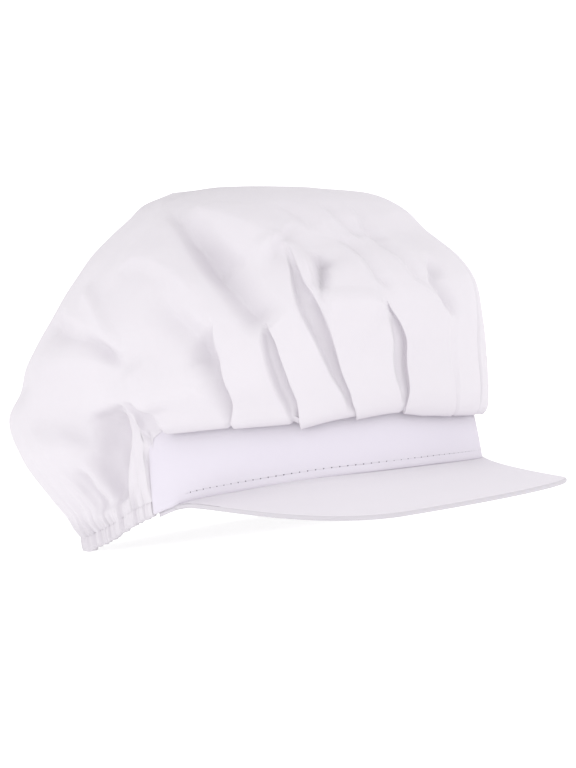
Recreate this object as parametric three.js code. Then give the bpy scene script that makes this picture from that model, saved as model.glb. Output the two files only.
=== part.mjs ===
// A kitchen and workshop cap of white cotton: a puffed crown laid in knife pleats at the front,
// a half-round band with its inner layer, a short stiff peak, and a gathered elastic hem at the back.
// Millimetres, +Z up, the peak points along -Y. The cap stands on the peak's edge and on the back hem,
// as it does when it is put down. Angles are in degrees round the head opening: 0 is the front,
// 90 the wearer's right side, 180 the nape and -90 the left side.

import * as THREE from 'three';

// Head opening, measured on the outside of the band
const openingHalfWidth = 78;
const openingHalfLength = 98;

// Band, its inner layer and the peak
const bandHeight = 33;
const bandThickness = 1.8;
const bandEndAngle = 86;
const bandCornerAngle = 7;        // the rounded upper rear corner, as a turn
const bandCornerDrop = 8;         // and as a height
const bandLean = 1.5;             // how far the band leans in at its top edge
const bandEndLean = 0.4;          // how far its ends lean forward at the top, in degrees
const liningThickness = 1.2;
const liningHeight = 27;
const liningShows = 1.6;          // the inner layer's lower edge below the band's
const peakLength = 41;
const peakThickness = 1.8;
const peakEndAngle = 77;
const peakTipWidth = 3;           // the blunt end of the peak, where it meets the band
const peakBow = 0.8;              // under 1, the peak falls faster beside the band than at its edge
const peakLifts = { right: 0.27, left: 0.45 };  // share of its half length from which its edge rises

// Crown and hem
const clothThickness = 1.6;
const crownColumns = 75;          // columns of its mesh, before the extra ones at the pleats
const hemThickness = 3;
const hemHeight = 7;
const hemStartAngle = 88;
const hemPuckerDepth = 0.7;
const hemPuckers = 34;
const hemPullsIn = 3;             // the elastic draws the nape in
const hemFlare = 1.2;             // and stands out beside it
const gap = 0.35;                 // between pieces that touch

// Height of the lower edge of the band above the table. It hangs a little lower on the left.
const bandEdge = [
  { at: -90, z: 12 },
  { at: -75, z: 15.5 },
  { at: -60, z: 15.6 },
  { at: -40, z: 14.6 },
  { at: -20, z: 15.3 },
  { at: 0, z: 16.6 },
  { at: 20, z: 17.9 },
  { at: 40, z: 19 },
  { at: 60, z: 18.5 },
  { at: 72, z: 17.5 },
  { at: 80, z: 15.6 },
  { at: 90, z: 12 },
];

// Height of the lower edge of the elastic hem, from the right end of the band round the nape.
// The hem stands on a short stretch at each side, and the elastic lifts the nape.
const hemEdge = [
  { at: 85, z: 13 },
  { at: 94, z: 9.7 },
  { at: 106, z: 4.3 },
  { at: 118, z: 1.3 },
  { at: 126, z: 0 },
  { at: 142, z: 0 },
  { at: 152, z: 2.4 },
  { at: 165, z: 6.5 },
  { at: 180, z: 9 },
  { at: 195, z: 9.4 },
  { at: 208, z: 6 },
  { at: 218, z: 2.4 },
  { at: 228, z: 0 },
  { at: 244, z: 0 },
  { at: 254, z: 2.6 },
  { at: 266, z: 8.2 },
  { at: 275, z: 12.5 },
];

// Lower edge of the crown's overhang above the band. The left side hangs lower than the right.
const lipEdge = [
  { at: -90, z: 44 },
  { at: -75, z: 41 },
  { at: -60, z: 37 },
  { at: -44, z: 33.5 },
  { at: -20, z: 33.8 },
  { at: -4, z: 35.6 },
  { at: 4, z: 37 },
  { at: 12, z: 39.9 },
  { at: 44, z: 42.5 },
  { at: 60, z: 44.8 },
  { at: 76, z: 45.6 },
  { at: 90, z: 47.2 },
];

// The crown's level sections, from its belly to its top. front and back are the reach
// from the middle of the opening, and middle is where the section is widest.
const sections = [
  { z: 62, halfWidth: 91.7, front: 103.2, back: 120, middle: 5 },
  { z: 78, halfWidth: 89.6, front: 106.2, back: 106.5, middle: 3 },
  { z: 91, halfWidth: 87.2, front: 105.3, back: 91.5, middle: 0 },
  { z: 103, halfWidth: 81.2, front: 97.5, back: 78.3, middle: -2 },
  { z: 114, halfWidth: 72.7, front: 83.8, back: 69.8, middle: -3 },
  { z: 124, halfWidth: 64, front: 76.6, back: 61.3, middle: -3 },
  { z: 133, halfWidth: 52.3, front: 63.1, back: 53, middle: -1 },
  { z: 140, halfWidth: 37.2, front: 38, back: 51, middle: 6 },
  { z: 145, halfWidth: 22.5, front: 6, back: 48.5, middle: 18 },
];
const apex = { y: 38.5, z: 147.2 };
const backFullness = 0.84;        // under 1, the back of a section is squarer than an oval
const cheekPullsIn = 7;           // how far the cloth just behind the band is drawn in at its belly

// How the cloth leaves its lower edge, as steps out from the opening. Over the band it turns out
// and hangs in a lip (rise is above the lip's lower edge, and the first step is lipStart below
// the seam); behind it, it rises from the hem.
const lipStart = 1.2;
const lipPath = [
  { out: 2.2, rise: 0 },
  { out: 2.3, rise: 2 },
  { out: 3.2, rise: 0.5 },
  { out: 4.9, rise: 3 },
  { out: 6.3, rise: 9 },
];
const backPath = [
  { out: 2.4, rise: 4 },
  { out: 5, rise: 10 },
  { out: 9.6, rise: 18 },
  { out: 15.4, rise: 27 },
  { out: 20.8, rise: 38 },
];
const cheekPath = [
  { out: 0.8, rise: 5 },
  { out: 1, rise: 11 },
  { out: 1.5, rise: 17 },
  { out: 2.8, rise: 23 },
  { out: 6, rise: 30 },
];
const cheekAngle = 93;            // the flat gathered cloth just behind the band
const cheekReach = 19;

// Knife pleats, from the front to the rear on each side. The folded edge of each faces the rear and
// stands over a hollow. A row of its line gives the edge's angle at a height, and the hollow's width
// and depth in millimetres. droop is how far the edge's foot hangs below the overhang's lower edge.
const pleats = [
  {
    side: 1,
    droop: 0.6,
    line: [
      { at: 41, angle: 10.5, width: 2.6, depth: 2 },
      { at: 53, angle: 7.9, width: 6, depth: 3.4 },
      { at: 64, angle: 6.7, width: 7, depth: 3.8 },
      { at: 76, angle: 10.2, width: 4.5, depth: 1.8 },
      { at: 88, angle: 13.5, width: 2, depth: 0 },
    ],
  },
  {
    side: 1,
    droop: 1.4,
    line: [
      { at: 41, angle: 25.1, width: 2.6, depth: 2 },
      { at: 64, angle: 26.6, width: 4.5, depth: 3 },
      { at: 86, angle: 31, width: 9.5, depth: 5 },
      { at: 101, angle: 34.4, width: 5, depth: 3.2 },
      { at: 115, angle: 34.6, width: 2, depth: 0 },
    ],
  },
  {
    side: 1,
    droop: 2.6,
    line: [
      { at: 44, angle: 40, width: 4.5, depth: 3.2 },
      { at: 61, angle: 38.4, width: 6.5, depth: 4 },
      { at: 72, angle: 39.6, width: 7, depth: 3.8 },
      { at: 87, angle: 43.2, width: 4, depth: 1.3 },
      { at: 99, angle: 44.8, width: 2, depth: 0 },
    ],
  },
  {
    side: 1,
    droop: 0.6,
    line: [
      { at: 46, angle: 57.2, width: 4, depth: 1.4 },
      { at: 59, angle: 53.6, width: 9, depth: 2.4 },
      { at: 70, angle: 53.2, width: 10, depth: 2.3 },
      { at: 90, angle: 56.8, width: 4, depth: 0 },
    ],
  },
  {
    side: -1,
    droop: 0.8,
    line: [
      { at: 40, angle: 8, width: 2, depth: 1.1 },
      { at: 68, angle: 8.5, width: 6, depth: 2 },
      { at: 92, angle: 11.5, width: 2, depth: 0 },
    ],
  },
  {
    side: -1,
    droop: 1.2,
    line: [
      { at: 38, angle: 23, width: 3, depth: 1.8 },
      { at: 72, angle: 26, width: 8, depth: 3.4 },
      { at: 88, angle: 28.5, width: 7, depth: 2.6 },
      { at: 104, angle: 31, width: 2, depth: 0 },
    ],
  },
  {
    side: -1,
    droop: 1.6,
    line: [
      { at: 36, angle: 39, width: 3, depth: 2 },
      { at: 62, angle: 40, width: 7, depth: 3 },
      { at: 84, angle: 43, width: 5, depth: 1.8 },
      { at: 98, angle: 46, width: 2, depth: 0 },
    ],
  },
  {
    side: -1,
    droop: 0.8,
    line: [
      { at: 38, angle: 56, width: 3, depth: 1.2 },
      { at: 64, angle: 56.3, width: 9, depth: 2.3 },
      { at: 90, angle: 59, width: 4, depth: 0 },
    ],
  },
];
const pleatWall = 1.4;            // degrees over which a pleat drops behind its edge
const hollowEnds = [5, 8];        // degrees behind the edge where more columns follow the hollow
const sewnShare = 0.3;            // share of a pleat's depth that is left at the seam
const tailAngle = 76;             // where the cloth behind the last pleat is smooth again

// Soft valleys in the cloth, or ridges where the depth is negative. lean is degrees of turn for
// each millimetre up.
const dents = [
  { at: 56.5, z: 104, turn: 5, reach: 24, depth: 4.5, lean: 0.5 },
  { at: 25, z: 102, turn: 4.5, reach: 13, depth: 4.5, lean: -0.35 },
  { at: 64, z: 75, turn: 5, reach: 17, depth: 2.4, lean: 0.5 },
  { at: 76, z: 66, turn: 6, reach: 15, depth: -2.6, lean: 0 },
  { at: 94, z: 52, turn: 8, reach: 10, depth: 6, lean: 0.1 },
  { at: 94, z: 33, turn: 3.5, reach: 14, depth: 2.6, lean: -0.27 },
  { at: 108, z: 32, turn: 5, reach: 14, depth: 2.6, lean: -0.3 },
  { at: 92, z: 88, turn: 15, reach: 7, depth: 3, lean: 0 },
  { at: 163, z: 46, turn: 7, reach: 18, depth: 3.5, lean: -0.1 },
  { at: -173, z: 54, turn: 7, reach: 20, depth: 4, lean: 0.1 },
  { at: -151, z: 44, turn: 8, reach: 20, depth: 4, lean: 0 },
  { at: -122, z: 50, turn: 8, reach: 20, depth: 4, lean: -0.15 },
  { at: -98, z: 50, turn: 8, reach: 12, depth: 5, lean: 0 },
  { at: -60, z: 101, turn: 6, reach: 22, depth: 4, lean: -0.45 },
];

// Gathers that rise out of the elastic and fade into the back of the crown
const gathers = { count: 22, depth: 1.8, unevenCount: 31, unevenShare: 0.4, fadeHeight: 42 };

const cloth = 0xf4eff6;
const materials = {
  crown: new THREE.MeshStandardMaterial({ color: cloth, roughness: 0.85, metalness: 0 }),
  band: new THREE.MeshStandardMaterial({ color: 0xefe9f5, roughness: 0.85, metalness: 0 }),
  lining: new THREE.MeshStandardMaterial({ color: 0xebe6ef, roughness: 0.9, metalness: 0 }),
  peak: new THREE.MeshStandardMaterial({ color: 0xeae5ec, roughness: 0.7, metalness: 0 }),
  hem: new THREE.MeshStandardMaterial({ color: cloth, roughness: 0.9, metalness: 0 }),
};

const radians = THREE.MathUtils.degToRad;
const smooth = (value, low, high) => THREE.MathUtils.smoothstep(value, low, high);
const mix = THREE.MathUtils.lerp;

// Reads one column of a table between its rows, on a smooth curve through them that doesn't
// swing past a row: it runs level through a highest or a lowest one.
function alongTable(rows, at, column) {
  const last = rows.length - 1;
  if (at <= rows[0].at) return rows[0][column];
  if (at >= rows[last].at) return rows[last][column];
  const k = rows.findIndex((row) => row.at > at) - 1;
  const before = rows[Math.max(k - 1, 0)];
  const after = rows[Math.min(k + 2, last)];
  const start = rows[k];
  const end = rows[k + 1];
  const span = end.at - start.at;
  const t = (at - start.at) / span;
  const slopeAt = (low, here, high) => {
    const turns = (high[column] - here[column]) * (here[column] - low[column]) <= 0;
    return turns ? 0 : ((high[column] - low[column]) / (high.at - low.at)) * span;
  };
  const slopeIn = slopeAt(before, start, end);
  const slopeOut = slopeAt(start, end, after);
  const t2 = t * t;
  const t3 = t2 * t;
  return (2 * t3 - 3 * t2 + 1) * start[column] + (t3 - 2 * t2 + t) * slopeIn
    + (3 * t2 - 2 * t3) * end[column] + (t3 - t2) * slopeOut;
}

// A point outside the opening's oval by a given distance.
function offOpening(angle, out, z) {
  const a = radians(angle);
  const x = -openingHalfWidth * Math.sin(a);
  const y = -openingHalfLength * Math.cos(a);
  const normal = new THREE.Vector2(-openingHalfLength * Math.sin(a), -openingHalfWidth * Math.cos(a));
  normal.normalize();
  return new THREE.Vector3(x + out * normal.x, y + out * normal.y, z);
}

const bandEdgeZ = (angle) => alongTable(bandEdge, angle, 'z');
const hemEdgeZ = (angle) => alongTable(hemEdge, angle < 0 ? angle + 360 : angle, 'z');
const hemInset = (angle) => {
  const turn = Math.abs(angle);
  return hemPullsIn * smooth(turn, 140, 180) - hemFlare * smooth(turn, 95, 125);
};

// Upper edge of the band, with its rounded rear corners
function bandTopZ(angle) {
  const intoCorner = (Math.abs(angle) - (bandEndAngle - bandCornerAngle)) / bandCornerAngle;
  const drop = intoCorner > 0 ? 1 - Math.sqrt(Math.max(0, 1 - intoCorner * intoCorner)) : 0;
  return bandEdgeZ(angle) + bandHeight - drop * bandCornerDrop;
}

// Closes a grid of centre points into one solid cloth of the given thickness. The first row is
// the lower edge. With around the columns close on themselves, with pole the last row is one point.
function clothSolid(grid, thickness, { around = false, pole = false } = {}) {
  const columns = grid.length;
  const rows = grid[0].length;
  const column = (i) => (around ? (i + columns) % columns : THREE.MathUtils.clamp(i, 0, columns - 1));
  const row = (j) => THREE.MathUtils.clamp(j, 0, rows - 1);
  const positions = [];
  const faces = [];
  const vertex = (point) => positions.push(point.x, point.y, point.z) / 3 - 1;

  const normalAt = (i, j) => {
    if (pole && j === rows - 1) return new THREE.Vector3(0, 0, 1);
    const alongColumns = grid[column(i + 1)][j].clone().sub(grid[column(i - 1)][j]);
    const alongRows = grid[column(i)][row(j + 1)].clone().sub(grid[column(i)][row(j - 1)]);
    return alongColumns.cross(alongRows).normalize();
  };
  const outer = [];
  const inner = [];
  for (let i = 0; i < columns; i += 1) {
    outer.push([]);
    inner.push([]);
    for (let j = 0; j < rows; j += 1) {
      if (pole && j === rows - 1 && i > 0) {
        outer[i].push(outer[0][j]);
        inner[i].push(inner[0][j]);
      } else {
        const half = normalAt(i, j).multiplyScalar(thickness / 2);
        outer[i].push(vertex(grid[i][j].clone().add(half)));
        inner[i].push(vertex(grid[i][j].clone().sub(half)));
      }
    }
  }
  const triangle = (a, b, c) => {
    if (a !== b && b !== c && c !== a) faces.push(a, b, c);
  };
  const quad = (a, b, c, d) => {
    triangle(a, b, c);
    triangle(a, c, d);
  };
  const steps = around ? columns : columns - 1;
  for (let i = 0; i < steps; i += 1) {
    const next = column(i + 1);
    for (let j = 0; j < rows - 1; j += 1) {
      quad(outer[i][j], outer[next][j], outer[next][j + 1], outer[i][j + 1]);
      quad(inner[i][j], inner[i][j + 1], inner[next][j + 1], inner[next][j]);
    }
    quad(inner[i][0], inner[next][0], outer[next][0], outer[i][0]);
    if (!pole) quad(outer[i][rows - 1], outer[next][rows - 1], inner[next][rows - 1], inner[i][rows - 1]);
  }
  if (!around) {
    const end = columns - 1;
    for (let j = 0; j < rows - 1; j += 1) {
      quad(inner[0][j], outer[0][j], outer[0][j + 1], inner[0][j + 1]);
      quad(outer[end][j], inner[end][j], inner[end][j + 1], outer[end][j + 1]);
    }
  }
  const geometry = new THREE.BufferGeometry();
  geometry.setAttribute('position', new THREE.Float32BufferAttribute(positions, 3));
  geometry.setIndex(faces);
  return geometry;
}

// Column angles, an even spread with extra columns where the form is sharp
function columnAngles(from, to, count, extra = []) {
  const spacing = (to - from) / count;
  const spread = Array.from({ length: count + 1 }, (_, i) => from + i * spacing);
  const kept = spread.filter((angle) => extra.every((sharp) => Math.abs(sharp - angle) > spacing * 0.3));
  return [...kept, ...extra].sort((a, b) => a - b);
}

const pleatsOf = (side) => pleats.filter((pleat) => pleat.side === side);
const pleatFoot = (pleat) => pleat.line[0].angle;

// Share of the way up the band's end at a height
const alongBandEnd = (z) => THREE.MathUtils.clamp((z - bandEdgeZ(bandEndAngle)) / bandHeight, 0, 1);

// The angle at a height of the column that leaves the lower edge at a given angle. Between the
// pleats the columns share the pleats' lean, and beside the band's ends they follow its lean.
function columnAngle(foot, z) {
  const side = Math.sign(foot) || 1;
  const knots = [
    { at: 0, turn: 0 },
    ...pleatsOf(side).map((pleat) => ({
      at: pleatFoot(pleat),
      turn: alongTable(pleat.line, z, 'angle') - pleatFoot(pleat),
    })),
    { at: tailAngle, turn: 0 },
    { at: bandEndAngle, turn: -bandEndLean * alongBandEnd(z) * (1 - smooth(z, bandHeight + 14, 80)) },
    { at: 106, turn: 0 },
    { at: 181, turn: 0 },
  ];
  const k = Math.max(knots.findIndex((knot) => knot.at > Math.abs(foot)), 1);
  const share = (Math.abs(foot) - knots[k - 1].at) / (knots[k].at - knots[k - 1].at);
  return foot + side * mix(knots[k - 1].turn, knots[k].turn, Math.min(share, 1));
}

// How deep the cloth lies in the hollow behind a pleat's edge. The hollow is deepest under
// the edge and runs out over its width. radius turns an angle there into millimetres.
function hollowDepth(foot, z, radius) {
  const turn = Math.abs(foot);
  let total = 0;
  for (const pleat of pleatsOf(Math.sign(foot) || 1)) {
    const behind = turn - pleatFoot(pleat);
    const wall = THREE.MathUtils.clamp(behind / pleatWall, 0, 1);
    const along = radians(Math.max(behind - pleatWall, 0)) * radius;
    const left = Math.max(1 - along / alongTable(pleat.line, z, 'width'), 0);
    total += alongTable(pleat.line, z, 'depth') * wall * left;
  }
  return total;
}

// How far the overhang's lower edge hangs. It sinks towards each pleat's foot and steps up behind it.
function footDroop(foot) {
  let from = 0;
  for (const pleat of pleatsOf(Math.sign(foot) || 1)) {
    const share = (Math.abs(foot) - from) / (pleatFoot(pleat) - from);
    if (share > 0 && share <= 1) return pleat.droop * share ** 1.5;
    from = pleatFoot(pleat);
  }
  return 0;
}

function dentDepth(angle, z) {
  let depth = 0;
  for (const dent of dents) {
    const middle = dent.at + dent.lean * (z - dent.z);
    const away = ((angle - middle + 540) % 360) - 180;
    depth += dent.depth * Math.exp(-((away / dent.turn) ** 2) - ((z - dent.z) / dent.reach) ** 2);
  }
  return depth;
}

function gatherHeight(angle, rise) {
  const turn = Math.abs(angle);
  const atBack = smooth(turn, bandEndAngle, bandEndAngle + 6);
  const fade = 1 - smooth(rise, 0, gathers.fadeHeight);
  const even = Math.sin(radians((turn - bandEndAngle) * gathers.count * 2));
  const uneven = gathers.unevenShare * Math.sin(radians(turn * gathers.unevenCount));
  return gathers.depth * atBack * fade * (even + uneven);
}

// The crown's centre line from its lower edge to its top, before pleats and dents, for the
// column that leaves the lower edge at a given angle
function crownProfile(foot) {
  const turn = Math.abs(foot);
  const behind = smooth(turn, bandEndAngle, bandEndAngle + 1.5);
  const cheek = 1 - smooth(Math.abs(turn - cheekAngle), 2, cheekReach);
  const bandZ = bandTopZ(THREE.MathUtils.clamp(foot, -bandEndAngle, bandEndAngle));
  const seamZ = bandZ + 2 * gap + clothThickness;
  const hemZ = hemEdgeZ(foot) + hemHeight + gap + clothThickness / 3;
  const at = (out, z) => offOpening(columnAngle(foot, z), out, z);
  const seam = at(-bandThickness / 2 - bandLean, seamZ);
  const points = [seam.lerp(at(-hemThickness / 2 - hemInset(foot), hemZ), behind)];
  const lipZ = alongTable(lipEdge, foot, 'z') + clothThickness / 2 - footDroop(foot);
  lipPath.forEach((step, i) => {
    const z = i === 0 ? Math.max(seamZ - lipStart, lipZ) : lipZ + step.rise;
    const out = mix(backPath[i].out, cheekPath[i].out, cheek);
    const rise = mix(backPath[i].rise, cheekPath[i].rise, cheek);
    points.push(at(step.out, z).lerp(at(out - hemInset(foot), hemZ + rise), behind));
  });
  for (const level of sections) {
    const a = radians(columnAngle(foot, level.z));
    const inFront = Math.cos(a) > 0;
    const reach = inFront ? level.front + level.middle : level.back - level.middle;
    const fullness = inFront ? 1 : backFullness;
    const pulledIn = cheek * cheekPullsIn * (1 - smooth(level.z, 58, 96));
    points.push(new THREE.Vector3(
      -(level.halfWidth - pulledIn) * Math.sign(a) * Math.abs(Math.sin(a)) ** fullness,
      level.middle - reach * Math.sign(Math.cos(a)) * Math.abs(Math.cos(a)) ** fullness,
      level.z,
    ));
  }
  points.push(new THREE.Vector3(0, apex.y, apex.z));
  return new THREE.CatmullRomCurve3(points, false, 'centripetal');
}

// The crown is one puffed sheet, closed at the top and open below.
function crownGeometry() {
  const sharp = pleats.flatMap((pleat) => [0, pleatWall, ...hollowEnds].map(
    (behind) => pleat.side * (pleatFoot(pleat) + behind),
  ));
  const ends = [-bandCornerAngle, -2.4, -1.4, -0.6, 0, 1.5].map((past) => bandEndAngle + past);
  const extra = [...sharp, ...ends.flatMap((angle) => [-angle, angle])];
  const angles = columnAngles(-180, 180, crownColumns, extra).slice(0, -1);
  const spans = lipPath.length + sections.length + 1;
  const rowSpots = [];
  for (let j = 0; j <= spans; j += 1) {
    rowSpots.push(j / spans);
    if (j >= 2 && j < lipPath.length + 5) rowSpots.push((j + 0.5) / spans);
  }
  const base = angles.map((angle) => {
    const profile = crownProfile(angle);
    return rowSpots.map((spot) => profile.getPoint(spot));
  });
  const columns = base.length;
  const grid = base.map((line, i) => line.map((point, j) => {
    if (j === line.length - 1) return point.clone();
    const across = base[(i + 1) % columns][j].clone().sub(base[(i - 1 + columns) % columns][j]);
    const up = line[j + 1].clone().sub(line[Math.max(j - 1, 0)]);
    const outward = up.cross(across).normalize();
    const free = smooth(rowSpots[j] * spans, 1, lipPath.length);
    const foot = angles[i];
    const angle = columnAngle(foot, point.z);
    const rise = point.z - hemEdgeZ(angle) - hemHeight;
    const inHollow = hollowDepth(foot, point.z, Math.hypot(point.x, point.y)) * mix(sewnShare, 1, free);
    const gathered = gatherHeight(angle, rise) * smooth(rowSpots[j] * spans, 0, 1);
    const move = gathered - inHollow - dentDepth(angle, point.z) * free;
    return point.clone().add(outward.multiplyScalar(move));
  }));
  return clothSolid(grid, clothThickness, { around: true, pole: true });
}

// The band covers the front half of the opening and has rounded upper rear corners.
function bandGeometry() {
  const corner = bandEndAngle - bandCornerAngle;
  const extra = [0.3, 0.55, 0.75, 0.9].flatMap((share) => {
    const angle = corner + share * bandCornerAngle;
    return [-angle, angle];
  });
  const angles = columnAngles(-bandEndAngle, bandEndAngle, 44, extra);
  const grid = angles.map((angle) => [0, 0.5, 1].map((share) => {
    const z = mix(bandEdgeZ(angle), bandTopZ(angle), share);
    const leant = angle * (1 - (bandEndLean / bandEndAngle) * share);
    return offOpening(leant, -bandThickness / 2 - bandLean * share, z);
  }));
  return clothSolid(grid, bandThickness);
}

function liningGeometry() {
  const angles = columnAngles(-bandEndAngle + 1, bandEndAngle - 1, 40);
  const out = -bandThickness - gap - bandLean - liningThickness / 2;
  const grid = angles.map((angle) => {
    const low = bandEdgeZ(angle) - liningShows;
    return [offOpening(angle, out, low), offOpening(angle, out, low + liningHeight)];
  });
  return clothSolid(grid, liningThickness);
}

// The peak is a bent crescent board. Its upper face leaves the band's lower edge and slopes down.
function peakGeometry() {
  const angles = columnAngles(-peakEndAngle, peakEndAngle, 44);
  const inset = bandThickness + bandLean - 0.4;
  const shares = [0, 0.3, 0.6, 0.85, 1];
  const grid = angles.map((angle) => {
    const turn = Math.abs(angle) / peakEndAngle;
    const reach = Math.max(peakTipWidth, peakLength * (1 - turn ** 2) ** 1.05);
    const top = bandEdgeZ(angle) - gap - peakThickness * 0.6;
    const foot = peakThickness / 2;
    const lifts = angle > 0 ? peakLifts.right : peakLifts.left;
    const low = mix(foot, top, smooth(turn, lifts, 1.07));
    return shares.map((share) => {
      const out = mix(-inset, reach, share);
      const fall = THREE.MathUtils.clamp(out / reach, 0, 1) ** peakBow;
      return offOpening(angle, out, mix(top, low, fall));
    });
  });
  // The rows run inwards from the free edge so that the upper face points up.
  const inwards = grid.map((line) => [...line].reverse());
  return clothSolid(inwards, peakThickness);
}

// The hem is a narrow tunnel of cloth over the elastic, in close puckers.
function hemGeometry() {
  const from = hemStartAngle;
  const to = 360 - hemStartAngle;
  const count = hemPuckers * 4;
  const grid = columnAngles(from, to, count).map((around) => {
    const angle = around > 180 ? around - 360 : around;
    const wave = Math.sin(radians(((around - from) / (to - from)) * 360 * hemPuckers));
    const ends = smooth(around, from, from + 4) * (1 - smooth(around, to - 4, to));
    const out = -hemThickness / 2 - hemInset(angle) + hemPuckerDepth * wave * ends;
    const z = hemEdgeZ(angle);
    return [offOpening(around, out, z), offOpening(around, out, z + hemHeight)];
  });
  return clothSolid(grid, hemThickness);
}

const cap = new THREE.Group();
function addPiece(name, geometry, material) {
  geometry.computeVertexNormals();
  const mesh = new THREE.Mesh(geometry, material);
  mesh.name = name;
  cap.add(mesh);
}

addPiece('crown', crownGeometry(), materials.crown);
addPiece('band', bandGeometry(), materials.band);
addPiece('band_lining', liningGeometry(), materials.lining);
addPiece('peak', peakGeometry(), materials.peak);
addPiece('elastic_hem', hemGeometry(), materials.hem);

// The origin is below the middle of the cap, on the surface that it stands on.
const extent = new THREE.Box3().setFromObject(cap);
const middle = extent.getCenter(new THREE.Vector3());
cap.position.set(-middle.x, -middle.y, -extent.min.z);
cap.updateMatrixWorld(true);

export default cap;
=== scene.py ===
import math
import bpy
import numpy as np
from mathutils import Matrix, Vector, noise


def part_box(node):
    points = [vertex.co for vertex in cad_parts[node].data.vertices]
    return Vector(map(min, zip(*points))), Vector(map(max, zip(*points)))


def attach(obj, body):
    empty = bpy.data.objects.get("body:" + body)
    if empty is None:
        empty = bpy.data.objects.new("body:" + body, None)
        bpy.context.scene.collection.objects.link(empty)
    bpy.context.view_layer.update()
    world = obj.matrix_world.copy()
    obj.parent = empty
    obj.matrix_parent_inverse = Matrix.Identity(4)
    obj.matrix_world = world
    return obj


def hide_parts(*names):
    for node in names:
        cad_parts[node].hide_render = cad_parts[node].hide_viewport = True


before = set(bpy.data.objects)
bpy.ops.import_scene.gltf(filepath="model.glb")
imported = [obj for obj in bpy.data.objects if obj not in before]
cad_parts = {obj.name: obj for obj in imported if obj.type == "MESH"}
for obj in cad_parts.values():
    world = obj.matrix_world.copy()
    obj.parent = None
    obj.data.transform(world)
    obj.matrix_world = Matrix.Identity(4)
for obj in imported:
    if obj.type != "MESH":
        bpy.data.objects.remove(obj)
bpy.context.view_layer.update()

# A white work cap: puffed crown with knife pleats, front band, boarded peak, elastic hem.
# Shapes are worked out in millimetres round the middle of the head opening. Angles are in
# degrees: 0 is the front, 90 the wearer's right side, 180 the nape, -90 the left side.
# A point's out is how far it stands outside the opening's oval.
mm = 0.001
opening = dict(halfWidth=78.0, halfLength=98.0, meanRadius=88.0)
ringX = (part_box("peak")[0][0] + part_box("peak")[1][0]) / 2 / mm
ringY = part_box("band")[0][1] / mm + opening["halfLength"]


def smooth(value, low, high):  # 0 up to low, 1 from high on
    t = np.clip((np.asarray(value, float) - low) / (high - low), 0, 1)
    return t * t * (3 - 2 * t)


def between(value, rises, falls):  # 1 between two smooth flanks, each from a low to a high value
    return smooth(value, *rises) * (1 - smooth(value, *falls))


def lerp(a, b, t):
    return a + (b - a) * t


def hermite(a, b, slopeA, slopeB, t):
    t2, t3 = t * t, t * t * t
    return ((2 * t3 - 3 * t2 + 1) * a + (t3 - 2 * t2 + t) * slopeA
            + (3 * t2 - 2 * t3) * b + (t3 - t2) * slopeB)


def alongTable(rows, at):  # a smooth curve through (at, value) rows that never swings past a row
    xs = np.array([row[0] for row in rows], float)
    ys = np.array([row[1] for row in rows], float)
    step = np.diff(ys) / np.diff(xs)
    slope = np.zeros_like(ys)
    for k in range(1, len(xs) - 1):
        if step[k - 1] * step[k] > 0:
            slope[k] = (ys[k + 1] - ys[k - 1]) / (xs[k + 1] - xs[k - 1])
    slope[0], slope[-1] = step[0], step[-1]
    at = np.clip(np.asarray(at, float), xs[0], xs[-1])
    k = np.clip(np.searchsorted(xs, at, side="right") - 1, 0, len(xs) - 2)
    span = xs[k + 1] - xs[k]
    return hermite(ys[k], ys[k + 1], slope[k] * span, slope[k + 1] * span, (at - xs[k]) / span)


def offOpening(angle, out, z):  # points outside the opening's oval
    a = np.radians(angle)
    w, l = opening["halfWidth"], opening["halfLength"]
    nx, ny = -l * np.sin(a), -w * np.cos(a)
    size = np.hypot(nx, ny)
    x = -w * np.sin(a) + out * nx / size
    y = -l * np.cos(a) + out * ny / size
    return np.stack(np.broadcast_arrays(x, y, np.asarray(z, float)), -1)


def arcAt(angle):  # length of cloth from the front to an angle
    return np.radians(angle) * opening["meanRadius"]


def unit(v):
    return v / np.maximum(np.linalg.norm(v, axis=-1, keepdims=True), 1e-9)


def wave(seed, value):  # a smooth irregular wave, the same each run, roughly from -1 to 1
    value = np.asarray(value, float)
    rng = np.random.default_rng(seed)
    total = np.zeros_like(value)
    for k in range(4):
        total += np.sin(value * (1 + 0.37 * k) + rng.uniform(0, 2 * np.pi)) / (1 + 0.35 * k)
    return total / 2.2


def makeObject(name, points, faces, uvs=None, smoothShade=True):
    mesh = bpy.data.meshes.new(name)
    verts = np.asarray(points, float) + np.array([ringX, ringY, 0.0])
    mesh.from_pydata((verts * mm).tolist(), [], faces)
    if uvs is not None:
        layer = mesh.uv_layers.new(name="cloth")
        flat = np.array([uvs[i] for face in faces for i in face], np.float32)
        layer.data.foreach_set("uv", flat.ravel())
    mesh.polygons.foreach_set("use_smooth", [smoothShade] * len(mesh.polygons))
    mesh.update()
    obj = bpy.data.objects.new(name, mesh)
    bpy.context.scene.collection.objects.link(obj)
    return obj


# Materials

class Wire:  # one output of a node, with arithmetic
    def __init__(self, maker, socket):
        self.maker, self.socket = maker, socket

    def calc(self, operation, a, b):
        return self.maker.node("ShaderNodeMath", dict(operation=operation), {0: a, 1: b})

    def __add__(self, other):
        return self.calc("ADD", self, other)

    def __radd__(self, other):
        return self.calc("ADD", other, self)

    def __sub__(self, other):
        return self.calc("SUBTRACT", self, other)

    def __rsub__(self, other):
        return self.calc("SUBTRACT", other, self)

    def __mul__(self, other):
        return self.calc("MULTIPLY", self, other)

    def __rmul__(self, other):
        return self.calc("MULTIPLY", other, self)


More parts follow.
